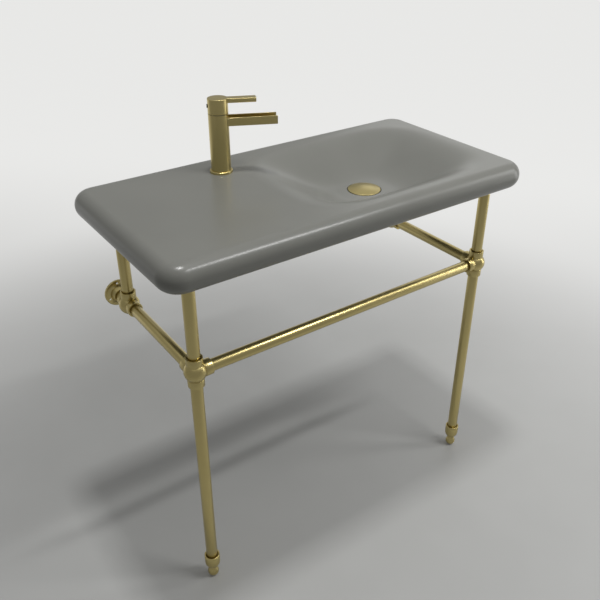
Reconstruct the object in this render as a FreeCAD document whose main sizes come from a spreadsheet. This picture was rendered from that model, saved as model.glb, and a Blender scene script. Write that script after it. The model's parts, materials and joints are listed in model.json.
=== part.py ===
import FreeCAD, Part
import Sketcher
import math
import os
import re

# A wall-hung console basin: a glazed slab with a soft off-centre bowl, carried on a brass stand
# with two front legs, with a single-lever trough faucet and a push drain.
# Frame: +X right, +Z up, the wall is the plane Y = 0 and the front faces -Y.
# The origin lies on the wall, midway between the two wall hanger holes of the basin.

Vector = FreeCAD.Vector
UP = Vector(0, 0, 1)

doc = FreeCAD.newDocument("ConsoleSink")

# Driving sizes in millimetres and degrees
SIZES = [
    # Basin
    ("basin_width", 900.0),
    ("basin_depth", 438.0),
    ("slab_thick", 58.0),
    ("edge_round", 28.5),
    ("corner_round", 46.0),
    ("back_reach", 16.0),
    ("rim_height", 848.0),
    ("shell_wall", 18.0),
    ("bowl_x", 155.0),
    ("bowl_half_length", 260.0),
    ("bowl_margin", 30.0),
    ("bowl_drop", 66.0),
    ("bowl_floor_half", 42.0),
    ("rim_lift", 0.5),
    ("edge_wall", 38.0),
    ("seat_width", 112.0),
    ("seat_depth", 100.0),
    ("hollow_round", 20.0),
    ("hanger_drop", 29.0),
    ("hanger_spacing", 280.0),
    ("hanger_hole", 14.0),
    ("seat_ground", 0.5),
    ("seat_margin", 2.0),
    ("boss_spare", 5.0),
    # Drain
    ("recess_round", 79.0),
    ("recess_deep", 6.0),
    ("drain_hole", 45.0),
    ("drain_thread", 42.0),
    ("drain_bore", 36.0),
    ("drain_flange", 64.0),
    ("flange_thick", 2.0),
    ("drain_gasket", 1.0),
    ("gasket_margin", 1.0),
    ("drain_length", 64.0),
    ("spider_drop", 20.0),
    ("spider_thick", 5.0),
    ("spider_arm", 4.0),
    ("spider_hub", 18.0),
    ("lower_gasket_round", 60.0),
    ("lower_gasket_thick", 8.0),
    ("drain_washer_thick", 1.5),
    ("drain_nut_flats", 56.0),
    ("drain_nut_thick", 10.0),
    ("tail_round", 32.0),
    ("tail_wall", 1.5),
    ("tail_entry", 14.0),
    ("tail_length", 36.0),
    ("tail_shoulder", 3.0),
    ("stopper_round", 75.5),
    ("stopper_edge", 3.0),
    ("stopper_curve", 1.0),
    ("stopper_dome", 4.5),
    ("stopper_lift", -1.8),
    ("stopper_seal_round", 58.0),
    ("stopper_seal_width", 5.0),
    ("seal_clear", 0.3),
    ("plunger_round", 6.0),
    ("plunger_drop", 46.0),
    ("plunger_collar", 9.8),
    ("plunger_collar_thick", 2.0),
    ("push_travel", 7.0),
    ("push_spare", 0.3),
    ("cartridge_round", 13.0),
    ("cartridge_flange", 17.0),
    ("cartridge_head", 3.0),
    ("cartridge_tail", 16.0),
    ("cartridge_wall", 1.2),
    ("cartridge_end_wall", 2.0),
    ("spring_wire", 1.0),
    ("spring_turns", 4.0),
    # Faucet
    ("faucet_x", -139.0),
    ("faucet_wall", 84.0),
    ("faucet_hole", 35.0),
    ("faucet_turn", 25.5),
    ("column_round", 43.0),
    ("column_bore", 34.0),
    ("foot_ring_round", 50.0),
    ("foot_ring_high", 5.5),
    ("foot_ring_curve", 2.0),
    ("column_gasket", 1.0),
    ("column_gasket_gap", 0.2),
    ("cap_base", 129.0),
    ("cap_high", 31.0),
    ("cap_wall", 2.5),
    ("cap_roof", 10.0),
    ("cap_edge", 1.2),
    ("pivot_rise", 6.0),
    ("tilt_gap", 0.35),
    ("spout_top", 120.5),
    ("spout_width", 28.0),
    ("spout_high", 17.5),
    ("spout_wall", 2.6),
    ("spout_reach", 124.0),
    ("spout_port_gap", 1.0),
    ("lever_width", 19.5),
    ("lever_thick", 9.0),
    ("lever_reach", 80.0),
    ("lever_drop", 0.6),
    ("lever_edge", 0.8),
    ("lever_tenon", 6.0),
    ("lever_tenon_long", 9.0),
    ("valve_seat", 88.0),
    ("valve_round", 28.5),
    ("valve_neck", 21.2),
    ("valve_bore", 18.4),
    ("valve_lip", 0.8),
    ("valve_lip_wide", 1.0),
    ("valve_flange", 1.5),
    ("valve_head", 4.0),
    ("valve_nut_thick", 5.5),
    ("valve_nut_sink", 0.7),
    ("disc_thick", 3.5),
    ("slider_round", 13.0),
    ("slider_thick", 5.4),
    ("slider_offset", 2.15),
    ("slider_gap", 0.05),
    ("socket_round", 5.4),
    ("socket_spare", 0.5),
    ("stem_ball", 4.6),
    ("stem_neck", 3.2),
    ("stem_boss", 6.6),
    ("stem_boss_high", 8.0),
    ("stem_round", 5.0),
    ("stem_arm", 10.3),
    ("stem_cover", 4.0),
    ("yoke_slot", 7.0),
    ("yoke_slot_long", 14.0),
    ("yoke_high", 10.0),
    ("yoke_below", 7.0),
    ("pin_round", 3.0),
    ("pin_inset", 1.0),
    ("hub_round", 10.0),
    ("hub_drop", 8.5),
    ("screw_round", 4.0),
    ("screw_long", 2.4),
    ("screw_rise", 2.6),
    ("plug_round", 8.0),
    ("plug_proud", 1.5),
    ("inlet_round", 9.0),
    ("inlet_deep", 14.0),
    ("inlet_back", 5.0),
    ("inlet_side", 8.5),
    ("feed_round", 8.0),
    ("stud_round", 8.0),
    ("stud_front", 10.5),
    ("stud_deep", 14.0),
    ("stud_below", 30.0),
    ("clamp_round", 46.0),
    ("clamp_slot", 26.0),
    ("clamp_gasket", 2.0),
    ("clamp_plate", 3.0),
    ("stud_nut_flats", 13.0),
    ("stud_nut_thick", 8.0),
    # Stand
    ("tube_round", 25.4),
    ("tube_wall", 1.2),
    ("leg_inset", 64.0),
    ("leg_front_inset", 68.0),
    ("stand_shift", 7.0),
    ("rear_wall", 64.0),
    ("tee_height", 585.0),
    ("ball_round", 46.0),
    ("collar_round", 34.0),
    ("collar_reach", 33.0),
    ("wall_collar_reach", 30.0),
    ("collar_groove", 1.4),
    ("collar_groove_deep", 0.6),
    ("edge_break", 1.0),
    ("mouth_round", 28.4),
    ("mouth_deep", 3.0),
    ("socket_floor", 15.0),
    ("plate_round", 63.0),
    ("plate_thick", 5.0),
    ("plate_edge", 2.0),
    ("hub_base", 40.0),
    ("hub_mouth", 32.0),
    ("hub_reach", 21.0),
    ("stub_seat", 7.0),
    ("plate_holes_round", 47.0),
    ("plate_hole", 6.0),
    ("plate_hole_count", 3.0),
    ("cup_round", 34.6),
    ("cup_top", 67.0),
    ("cup_bottom", 29.0),
    ("cup_waist", 20.0),
    ("cup_swell", 22.0),
    ("cup_swell_high", 17.0),
    ("cup_seat", 46.0),
    ("ball_foot", 25.4),
    ("ball_foot_flat", 7.0),
    ("foot_neck", 18.0),
    ("foot_stud", 10.0),
    ("foot_stud_top", 62.0),
    ("foot_gap", 0.3),
    ("post_flange", 44.0),
    ("post_flange_thick", 4.0),
    ("post_spigot", 22.0),
    ("post_pad_thick", 2.0),
    ("post_pad_margin", 1.0),
    # Clearances, and how far a cut or a joint runs past a face
    ("slip_fit", 0.05),
    ("run_fit", 0.03),
    ("lap", 1.0),
]

# Levels and radii that follow from the sizes
DERIVED = {
    "rim": "hanger_drop",
    "floor": "rim - rim_height",
    "slab_bottom": "rim - slab_thick",
    "bowl_y": "-basin_depth / 2",
    "bowl_half_width": "basin_depth / 2 - bowl_margin",
    "bowl_floor": "rim - bowl_drop",
    "hollow_low": "bowl_floor - shell_wall - boss_spare",
    "deck_under": "seat_ground - shell_wall",
    # Drain levels, measured from the bowl's floor
    "recess_floor": "-recess_deep",
    "flange_under": "recess_floor + drain_gasket",
    "flange_over": "flange_under + flange_thick",
    "drain_end": "flange_over - drain_length",
    "bowl_under": "seat_ground - shell_wall",
    "lower_gasket_end": "bowl_under - lower_gasket_thick",
    "drain_washer_end": "lower_gasket_end - drain_washer_thick",
    "drain_nut_end": "drain_washer_end - drain_nut_thick",
    "spider_top": "flange_over - spider_drop",
    "spider_end": "spider_top - spider_thick",
    "stopper_over": "stopper_lift + stopper_edge",
    "seal_under": "flange_over + seal_clear",
    "cartridge_end": "spider_end - cartridge_tail",
    "cartridge_top": "spider_top + cartridge_head",
    "spring_room": "cartridge_round / 2 - cartridge_wall",
    "spring_low": "cartridge_end + cartridge_end_wall",
    "collar_over": "cartridge_top - cartridge_end_wall - push_travel - push_spare",
    "collar_under": "collar_over - plunger_collar_thick",
    "spring_middle": "(plunger_round / 2 + run_fit + spring_room) / 2",
    # Faucet levels, measured from the deck
    "cap_top": "cap_base + cap_high",
    "pivot": "cap_base + pivot_rise",
    "tilt_ball": "sqrt((column_round / 2)^2 + pivot_rise^2) + tilt_gap",
    "column_rim": "pivot - sqrt(tilt_ball^2 - (column_round / 2)^2)",
    "column_lip": "pivot - sqrt(tilt_ball^2 - (column_bore / 2)^2)",
    "spout_floor": "spout_top - spout_high + spout_wall",
    "valve_nut_over": "column_lip - valve_nut_sink",
    "valve_shoulder": "valve_nut_over - valve_nut_thick",
    "valve_top": "pivot + valve_head",
    "stem_tip": "pivot - stem_arm",
    "slider_over": "stem_tip + stem_ball / 4",
    "slider_under": "slider_over - slider_thick",
    "disc_over": "slider_under - slider_gap",
    "disc_under": "disc_over - disc_thick",
    "yoke_under": "pivot - yoke_below",
    "yoke_over": "yoke_under + yoke_high",
    "cap_ceiling": "cap_top - cap_roof",
    "hub_under": "cap_ceiling - hub_drop",
    "stem_top": "cap_top - stem_cover",
    "screw_level": "hub_under + screw_rise",
    "lever_over": "cap_top - lever_drop",
    "lever_under": "lever_over - lever_thick",
    # Stand
    "tube_in": "tube_round / 2 - tube_wall",
    "tee_level": "floor + tee_height",
    "leg_x": "basin_width / 2 - leg_inset",
    "leg_wall": "basin_depth - leg_front_inset",
    "seat_level": "slab_bottom - post_pad_thick",
    "post_top": "seat_level - post_flange_thick",
    "cup_level": "floor + cup_seat",
}

sheet = doc.addObject("Spreadsheet::Sheet", "Sizes")
for row, (alias, size) in enumerate(SIZES, start=1):
    sheet.set("A%d" % row, alias)
    sheet.set("B%d" % row, str(size))
    sheet.setAlias("B%d" % row, alias)
doc.recompute()
SIZE_NAMES = {alias for alias, size in SIZES}


def ex(text):
    """Expression text with every size name tied to its cell."""
    def tie(found):
        word = found.group(0)
        if word in DERIVED:
            return "(" + ex(DERIVED[word]) + ")"
        if word in SIZE_NAMES:
            return "Sizes." + word
        return word
    return re.sub(r"[a-z_]+", tie, text)


def val(text):
    """The number that a size expression gives now."""
    return float(sheet.evalExpression(ex(text)))


# Helpers for bodies and sketches

parts = []


def place(piece, x="0", y="0", z="0", turn=None):
    """Put a sub-part at a place tied to the sizes, turned about an axis."""
    if turn:
        piece.Placement = FreeCAD.Placement(Vector(), FreeCAD.Rotation(*turn))
    for axis, text in (("x", x), ("y", y), ("z", z)):
        if text != "0":
            piece.setExpression("Placement.Base." + axis, ex(text))


def new_body(label, x="0", y="0", z="0", turn=None):
    body = doc.addObject("PartDesign::Body", label)
    body.Label = label
    place(body, x, y, z, turn)
    parts.append(body)
    return body


def sketch_on(body, role, offset="0"):
    plane = [item for item in body.Origin.OriginFeatures if item.Role == role][0]
    sketch = body.newObject("Sketcher::SketchObject", body.Label + "_sketch")
    sketch.AttachmentSupport = (plane, [""])
    sketch.MapMode = "FlatFace"
    if offset != "0":
        sketch.setExpression("AttachmentOffset.Base.z", ex(offset))
    return sketch


def tie_point(sketch, rules, ties, geo, pos, x, y):
    """Fix one sketch point at coordinates given as size expressions."""
    for kind, text, axis in (("DistanceX", x, -2), ("DistanceY", y, -1)):
        if text == "0":
            rules.append(Sketcher.Constraint("PointOnObject", geo, pos, axis))
        else:
            rules.append(Sketcher.Constraint(kind, geo, pos, val(text)))
            ties.append((len(rules) - 1, text))


def tie_rules(sketch, rules, ties):
    first = sketch.ConstraintCount
    sketch.addConstraint(rules)
    for index, text in ties:
        sketch.setExpression("Constraints[%d]" % (first + index), ex(text))


def outline(sketch, corners):
    """Closed outline through corners (x, y) or (x, y, arc radius to the next corner).

    A positive radius bends the edge counter-clockwise, a negative one clockwise."""
    spots = [Vector(val(c[0]), val(c[1]), 0) for c in corners]
    rules = []
    ties = []
    ends = []
    for index, corner in enumerate(corners):
        start = spots[index]
        stop = spots[(index + 1) % len(spots)]
        if len(corner) == 2:
            geo = sketch.addGeometry(Part.LineSegment(start, stop))
            ends.append((geo, 1, 2))
            continue
        clockwise = corner[2].startswith("-")
        radius = val(corner[2].lstrip("-"))
        middle = (start + stop) * 0.5
        along = (stop - start).normalize()
        left = Vector(-along.y, along.x, 0)
        rise = math.sqrt(radius ** 2 - (stop - start).Length ** 2 / 4)
        centre = middle + left * (-rise if clockwise else rise)
        first, last = (stop, start) if clockwise else (start, stop)
        angle_from = math.atan2(first.y - centre.y, first.x - centre.x)
        angle_to = math.atan2(last.y - centre.y, last.x - centre.x)
        arc = Part.ArcOfCircle(Part.Circle(centre, UP, radius), angle_from, angle_to)
        geo = sketch.addGeometry(arc)
        ends.append((geo, 2, 1) if clockwise else (geo, 1, 2))
        rules.append(Sketcher.Constraint("Radius", geo, radius))
        ties.append((len(rules) - 1, corner[2].lstrip("-")))
    for index, (geo, first, last) in enumerate(ends):
        next_geo, next_first, next_last = ends[(index + 1) % len(ends)]
        rules.append(Sketcher.Constraint("Coincident", geo, last, next_geo, next_first))
        tie_point(sketch, rules, ties, geo, first, corners[index][0], corners[index][1])
    tie_rules(sketch, rules, ties)


def circle(sketch, across, x="0", y="0"):
    """A circle given by its diameter and centre."""
    radius = "(" + across + ") / 2"
    geo = sketch.addGeometry(Part.Circle(Vector(val(x), val(y), 0), UP, val(radius)))
    rules = [Sketcher.Constraint("Radius", geo, val(radius))]
    ties = [(0, radius)]
    if x == "0" and y == "0":
        rules.append(Sketcher.Constraint("Coincident", geo, 3, -1, 1))
    else:
        tie_point(sketch, rules, ties, geo, 3, x, y)
    tie_rules(sketch, rules, ties)


def rectangle(sketch, x_low, x_high, y_low, y_high):
    outline(sketch, [(x_low, y_low), (x_high, y_low), (x_high, y_high), (x_low, y_high)])


def hexagon(sketch, flats, x="0", y="0"):
    """A hexagon given by its width across flats and centre."""
    half = "(" + flats + ") / 2"
    slant = "(" + flats + ") / sqrt(3)"
    corners = []
    for side, rise in ((1, 0), (0.5, 1), (-0.5, 1), (-1, 0), (-0.5, -1), (0.5, -1)):
        level = y if rise == 0 else "%s + (%d) * %s" % (y, rise, half)
        corners.append(("%s + (%g) * %s" % (x, side, slant), level))
    outline(sketch, corners)


def turned(body, corners, role="XZ_Plane", axis="V_Axis", cut=False):
    """Revolve a half section about a sketch axis, adding or cutting."""
    sketch = sketch_on(body, role)
    outline(sketch, corners)
    kind = "PartDesign::Groove" if cut else "PartDesign::Revolution"
    feature = body.newObject(kind, body.Label + "_turned")
    feature.Profile = sketch
    feature.ReferenceAxis = (sketch, [axis])
    feature.Angle = 360.0
    return feature


def pushed(body, draw, length, role="XY_Plane", offset="0", cut=False, backwards=False):
    """Pad or pocket the figure that draw puts in a sketch."""
    sketch = sketch_on(body, role, offset)
    draw(sketch)
    kind = "PartDesign::Pocket" if cut else "PartDesign::Pad"
    feature = body.newObject(kind, body.Label + "_pushed")
    feature.Profile = sketch
    feature.setExpression("Length", ex(length))
    feature.Reversed = backwards
    return feature


def ring(label, outside, inside, low, high, **spot):
    """A plain turned ring from its diameters and end levels."""
    body = new_body(label, **spot)
    outer = "(" + outside + ") / 2"
    inner = "(" + inside + ") / 2"
    turned(body, [(inner, low), (outer, low), (outer, high), (inner, high)])
    return body


def tube(label, length, **spot):
    """A length of the stand's tube along its own Z."""
    body = new_body(label, **spot)

    def section(sketch):
        circle(sketch, "tube_round")
        circle(sketch, "tube_round - 2 * tube_wall")
    pushed(body, section, length)
    return body


# Basin

def bowl_line(run):
    """A level line round the bowl as a closed wire: the floor's edge at run 0, the outer edge at run 1."""
    spot_count = 48
    floor_share = val("bowl_floor_half / bowl_half_width")
    ring_share = floor_share + run * (1 - floor_share)
    half_length = ring_share * val("bowl_half_length")
    half_width = ring_share * val("bowl_half_width")
    drop_share = 0.5 * (1 + math.cos(math.pi * run))
    level = val("rim + rim_lift") - drop_share * val("bowl_drop + rim_lift")
    spots = []
    for spot in range(spot_count):
        angle = 2 * math.pi * spot / spot_count
        swell = (math.cos(angle) ** 4 + math.sin(angle) ** 4) ** -0.25
        x = val("bowl_x") + half_length * swell * math.cos(angle)
        y = val("bowl_y") + half_width * swell * math.sin(angle)
        spots.append(Vector(x, y, level))
    line = Part.BSplineCurve()
    line.interpolate(spots, PeriodicFlag=True)
    return Part.Wire([line.toShape()])


def bowl_room():
    """The bowl's room as one smooth solid, from its floor to a little above the rim."""
    last_run = 0.98
    runs = [step / 10 for step in range(10)] + [last_run]
    return Part.makeLoft([bowl_line(run) for run in runs], True, False)


def block(x_low, x_high, y_low, y_high, z_low, z_high):
    low = Vector(val(x_low), val(y_low), val(z_low))
    high = Vector(val(x_high), val(y_high), val(z_high))
    size = high - low
    return Part.makeBox(size.x, size.y, size.z, low)


def upright_edges(shape):
    return [edge for edge in shape.Edges if abs(edge.tangentAt(edge.FirstParameter).z) > 0.99]


def level_edges(shape, levels):
    """Edges that lie wholly at one of the given heights."""
    found = []
    for edge in shape.Edges:
        box = edge.BoundBox
        for level in levels:
            if abs(box.ZMin - level) < 0.01 and abs(box.ZMax - level) < 0.01:
                found.append(edge)
    return found


def rod(across, start, way, length):
    return Part.makeCylinder(val(across) / 2, val(length), start, way)


def make_basin():
    slab = block("-basin_width / 2", "basin_width / 2", "-basin_depth", "back_reach",
                 "slab_bottom", "rim")
    slab = slab.makeFillet(val("corner_round"), upright_edges(slab))
    slab = slab.makeFillet(val("edge_round"), level_edges(slab, [val("rim"), val("slab_bottom")]))
    beyond = block("-basin_width", "basin_width", "0", "2 * back_reach", "floor", "rim + lap")
    slab = slab.cut(beyond)
    # The hollow under the basin leaves an edge wall and four corner seats for the posts
    side = "basin_width / 2 - edge_wall"
    long_room = block("-(" + side + ")", side, "-basin_depth + seat_depth", "-seat_depth",
                      "hollow_low", "rim")
    deep_room = block("-basin_width / 2 + seat_width", "basin_width / 2 - seat_width",
                      "-basin_depth + edge_wall", "-edge_wall", "hollow_low", "rim")
    hollow = long_room.fuse(deep_room).removeSplitter()
    hollow = hollow.makeFillet(val("hollow_round"), upright_edges(hollow))
    under_slab = block("-basin_width", "basin_width", "-basin_depth", "0",
                       "hollow_low", "slab_bottom + lap")
    basin = slab.fuse(hollow.common(under_slab))
    room = bowl_room()
    basin = basin.cut(room)
    # The shell under the deck and the bowl keeps one thickness
    under_shell = block("-basin_width", "basin_width", "-basin_depth", "0",
                        "hollow_low", "rim - shell_wall")
    under_bowl = room.translated(Vector(0, 0, -val("shell_wall")))
    basin = basin.cut(hollow.common(under_shell).cut(under_bowl))
    # Holes for the faucet, the drain and the wall hangers
    deck = Vector(val("faucet_x"), -val("faucet_wall"), val("slab_bottom"))
    basin = basin.cut(rod("faucet_hole", deck, UP, "slab_thick + lap"))
    drain = Vector(val("bowl_x"), val("bowl_y"), val("hollow_low"))
    basin = basin.cut(rod("drain_hole", drain, UP, "shell_wall + bowl_drop"))
    recess = Vector(val("bowl_x"), val("bowl_y"), val("bowl_floor - recess_deep"))
    basin = basin.cut(rod("recess_round", recess, UP, "bowl_drop"))
    # Flat ground seats under the deck and under the bowl for the clamping gaskets
    seats = (("clamp_round", deck, "rim + deck_under"),
             ("lower_gasket_round", drain, "bowl_floor + bowl_under"))
    for across, spot, level in seats:
        ground = Vector(spot.x, spot.y, val("hollow_low"))
        basin = basin.cut(rod(across + " + 2 * seat_margin", ground, UP, level + " - hollow_low"))
    for hand in (-1, 1):
        hanger = Vector(hand * val("hanger_spacing") / 2, -val("edge_wall + lap"), 0)
        basin = basin.cut(rod("hanger_hole", hanger, Vector(0, 1, 0), "edge_wall + 2 * lap"))
    return basin.Solids[0] if len(basin.Solids) == 1 else basin


basin = doc.addObject("Part::Feature", "basin")
basin.Label = "basin"
basin.Shape = make_basin()
basin.Placement = FreeCAD.Placement()
parts.append(basin)


# Drain, with Z = 0 at the bowl's floor

DRAIN = {"x": "bowl_x", "y": "bowl_y", "z": "bowl_floor"}

ring("drain_upper_gasket", "drain_flange - 2 * gasket_margin", "drain_thread + 2 * slip_fit",
     "recess_floor", "flange_under", **DRAIN)

drain_body = new_body("drain_body", **DRAIN)
turned(drain_body, [
    ("drain_bore / 2", "drain_end"),
    ("drain_thread / 2", "drain_end"),
    ("drain_thread / 2", "flange_under"),
    ("drain_flange / 2", "flange_under"),
    ("drain_flange / 2", "flange_over"),
    ("drain_bore / 2", "flange_over"),
])


def spider(sketch):
    rectangle(sketch, "-drain_bore / 2 - lap", "drain_bore / 2 + lap",
              "-spider_arm / 2", "spider_arm / 2")


def cross_spider(sketch):
    rectangle(sketch, "-spider_arm / 2", "spider_arm / 2",
              "-drain_bore / 2 - lap", "drain_bore / 2 + lap")


pushed(drain_body, spider, "spider_thick", offset="spider_end")
pushed(drain_body, cross_spider, "spider_thick", offset="spider_end")
pushed(drain_body, lambda sketch: circle(sketch, "spider_hub"), "spider_thick",
       offset="spider_end")
pushed(drain_body, lambda sketch: circle(sketch, "cartridge_round + 2 * slip_fit"), "spider_thick",
       offset="spider_top", cut=True)

ring("drain_lower_gasket", "lower_gasket_round", "drain_thread + 2 * slip_fit",
     "lower_gasket_end", "bowl_under", **DRAIN)
ring("drain_friction_washer", "lower_gasket_round", "drain_thread + 2 * slip_fit",
     "drain_washer_end", "lower_gasket_end", **DRAIN)

drain_lock_nut = new_body("drain_lock_nut", **DRAIN)


def drain_nut_section(sketch):
    hexagon(sketch, "drain_nut_flats")
    circle(sketch, "drain_thread + 2 * slip_fit")


pushed(drain_lock_nut, drain_nut_section, "drain_nut_thick", offset="drain_nut_end")

drain_tailpiece = new_body("drain_tailpiece", **DRAIN)
turned(drain_tailpiece, [
    ("tail_round / 2 - tail_wall", "drain_end - tail_length"),
    ("tail_round / 2", "drain_end - tail_length"),
    ("tail_round / 2", "drain_end - tail_shoulder"),
    ("drain_thread / 2", "drain_end - tail_shoulder"),
    ("drain_thread / 2", "drain_end"),
    ("drain_bore / 2 - slip_fit", "drain_end"),
    ("drain_bore / 2 - slip_fit", "drain_end + tail_entry"),
    ("tail_round / 2 - tail_wall", "drain_end + tail_entry"),
])

click_cartridge = new_body("click_cartridge", **DRAIN)
turned(click_cartridge, [
    ("plunger_round / 2 + run_fit", "cartridge_end"),
    ("cartridge_round / 2", "cartridge_end"),
    ("cartridge_round / 2", "spider_top"),
    ("cartridge_flange / 2", "spider_top"),
    ("cartridge_flange / 2", "cartridge_top"),
    ("spring_room", "cartridge_top"),
    ("spring_room", "spring_low"),
    ("plunger_round / 2 + run_fit", "spring_low"),
])

ring("click_cartridge_lid", "2 * (spring_room - slip_fit)", "plunger_round + 2 * run_fit",
     "cartridge_top - cartridge_end_wall", "cartridge_top", **DRAIN)

stopper_plunger = new_body("stopper_plunger", **DRAIN)
turned(stopper_plunger, [
    ("0", "stopper_lift - plunger_drop"),
    ("plunger_round / 2", "stopper_lift - plunger_drop"),
    ("plunger_round / 2", "collar_under"),
    ("plunger_collar / 2", "collar_under"),
    ("plunger_collar / 2", "collar_over"),
    ("plunger_round / 2", "collar_over"),
    ("plunger_round / 2", "stopper_lift"),
    ("0", "stopper_lift"),
])

stopper_cap = new_body("stopper_cap", **DRAIN)
turned(stopper_cap, [
    ("0", "stopper_lift"),
    ("stopper_round / 2 - stopper_curve", "stopper_lift"),
    ("stopper_round / 2", "stopper_lift + stopper_curve"),
    ("stopper_round / 2", "stopper_over - stopper_curve", "stopper_curve"),
    ("stopper_round / 2 - stopper_curve", "stopper_over",
     "((stopper_round / 2 - stopper_curve)^2 + stopper_dome^2) / (2 * stopper_dome)"),
    ("0", "stopper_over + stopper_dome"),
])

ring("stopper_seal", "stopper_seal_round", "stopper_seal_round - 2 * stopper_seal_width",
     "seal_under", "stopper_lift", **DRAIN)


# The push spring: a coil round the plunger, inside the cartridge

def biarc(start, start_way, stop, stop_way):
    """Two arcs that leave start and reach stop along the given unit directions."""
    span = stop - start
    ways = start_way + stop_way
    spread = 4 - ways.dot(ways)
    lean = span.dot(ways)
    reach = (math.sqrt(lean ** 2 + spread * span.dot(span)) - lean) / spread
    first_corner = start + start_way * reach
    last_corner = stop - stop_way * reach
    joint = (first_corner + last_corner) * 0.5
    arcs = []
    for begin, corner, end in ((start, first_corner, joint), (joint, last_corner, stop)):
        middle = (begin + end) * 0.5
        half = (end - begin).Length / 2
        bend = math.acos(half / reach)
        crown = middle + (corner - middle).normalize() * half * math.tan(bend / 2)
        arcs.append(Part.Arc(begin, crown, end).toShape())
    return arcs


def make_spring():
    """A coil of quarter turns, from the cartridge's floor to the plunger's collar."""
    radius = val("spring_middle")
    rise = val("collar_under - spring_low - spring_wire - 2 * slip_fit")
    quarters = 4 * round(val("spring_turns"))
    step = rise / quarters
    slope = step / (math.pi / 2)
    steepness = math.hypot(radius, slope)

    def on_coil(quarter):
        angle = quarter * math.pi / 2
        spot = Vector(radius * math.cos(angle), radius * math.sin(angle), step * quarter)
        way = Vector(-radius * math.sin(angle), radius * math.cos(angle), slope) / steepness
        return spot, way

    edges = []
    for quarter in range(quarters):
        edges += biarc(*on_coil(quarter), *on_coil(quarter + 1))
    start, way = on_coil(0)
    section = Part.Wire(Part.makeCircle(val("spring_wire") / 2, start, way))
    print("spring coil gap %.2f mm" % (4 * step - val("spring_wire")))
    return Part.Wire(edges).makePipeShell([section], True, False)


click_spring = doc.addObject("Part::Feature", "click_spring")
click_spring.Label = "click_spring"
click_spring.Shape = make_spring()
place(click_spring, x="bowl_x", y="bowl_y",
      z="bowl_floor + spring_low + spring_wire / 2 + slip_fit")
parts.append(click_spring)


# Faucet, with Z = 0 on the deck and X along the lever and spout

FAUCET = {"x": "faucet_x", "y": "-faucet_wall", "z": "rim", "turn": (UP, -val("faucet_turn"))}

ring("faucet_base_gasket", "column_round - gasket_margin", "faucet_hole + 2 * column_gasket_gap",
     "0", "column_gasket", **FAUCET)

faucet_base_ring = new_body("faucet_base_ring", **FAUCET)
turned(faucet_base_ring, [
    ("column_round / 2 + slip_fit", "0"),
    ("foot_ring_round / 2", "0"),
    ("foot_ring_round / 2", "foot_ring_high - foot_ring_curve", "foot_ring_curve"),
    ("foot_ring_round / 2 - foot_ring_curve", "foot_ring_high"),
    ("column_round / 2 + slip_fit", "foot_ring_high"),
])

faucet_body = new_body("faucet_body", **FAUCET)
turned(faucet_body, [
    ("0", "column_gasket"),
    ("column_round / 2", "column_gasket"),
    ("column_round / 2", "column_rim", "-tilt_ball"),
    ("column_bore / 2", "column_lip"),
    ("column_bore / 2", "valve_seat"),
    ("0", "valve_seat"),
])
pushed(faucet_body, lambda sketch: rectangle(sketch, "-spout_width / 2 + 2 * spout_wall",
                                             "spout_width / 2 - 2 * spout_wall",
                                             "spout_floor", "valve_shoulder - valve_flange - spout_port_gap"),
       "column_round / 2 + lap", role="YZ_Plane", cut=True, backwards=True)


def inlet_pair(across):
    def draw(sketch):
        circle(sketch, across, "-inlet_back", "inlet_side")
        circle(sketch, across, "-inlet_back", "-inlet_side")
    return draw


pushed(faucet_body, inlet_pair("inlet_round"), "inlet_deep", offset="column_gasket",
       cut=True, backwards=True)
pushed(faucet_body, inlet_pair("feed_round"), "valve_seat - column_gasket", offset="column_gasket",
       cut=True, backwards=True)
pushed(faucet_body, lambda sketch: circle(sketch, "stud_round + 2 * slip_fit", "stud_front"),
       "stud_deep", offset="column_gasket", cut=True, backwards=True)

spout_trough = new_body("spout_trough", **FAUCET)


def trough_section(sketch):
    outline(sketch, [
        ("-spout_width / 2", "spout_top - spout_high"),
        ("spout_width / 2", "spout_top - spout_high"),
        ("spout_width / 2", "spout_top"),
        ("spout_width / 2 - spout_wall", "spout_top"),
        ("spout_width / 2 - spout_wall", "spout_floor"),
        ("-spout_width / 2 + spout_wall", "spout_floor"),
        ("-spout_width / 2 + spout_wall", "spout_top"),
        ("-spout_width / 2", "spout_top"),
    ])


pushed(spout_trough, trough_section, "spout_reach", role="YZ_Plane")
pushed(spout_trough, lambda sketch: circle(sketch, "column_round + 2 * slip_fit"),
       "spout_high + 2 * lap", offset="spout_top + lap", cut=True)

cartridge_housing = new_body("cartridge_housing", **FAUCET)
turned(cartridge_housing, [
    ("0", "valve_seat"),
    ("valve_round / 2", "valve_seat"),
    ("valve_round / 2", "valve_shoulder - valve_flange"),
    ("column_bore / 2 - slip_fit", "valve_shoulder - valve_flange"),
    ("column_bore / 2 - slip_fit", "valve_shoulder"),
    ("valve_neck / 2", "valve_shoulder"),
    ("valve_neck / 2", "valve_top"),
    ("valve_bore / 2 - valve_lip_wide", "valve_top"),
    ("valve_bore / 2 - valve_lip_wide", "valve_top - valve_lip"),
    ("valve_bore / 2", "valve_top - valve_lip"),
    ("valve_bore / 2", "disc_under"),
    ("0", "disc_under"),
])

ring("cartridge_nut", "column_bore - 2 * slip_fit", "valve_neck + 2 * slip_fit",
     "valve_shoulder", "valve_nut_over", **FAUCET)

fixed_disc = new_body("fixed_disc", **FAUCET)
pushed(fixed_disc, lambda sketch: circle(sketch, "valve_bore - 2 * slip_fit"), "disc_thick",
       offset="disc_under")

moving_disc = new_body("moving_disc", **FAUCET)
pushed(moving_disc, lambda sketch: circle(sketch, "slider_round", "-slider_offset"), "slider_thick",
       offset="slider_under")
pushed(moving_disc, lambda sketch: circle(sketch, "socket_round"),
       "slider_over - stem_tip + stem_ball / 2 + socket_spare", offset="slider_over", cut=True)

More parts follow.
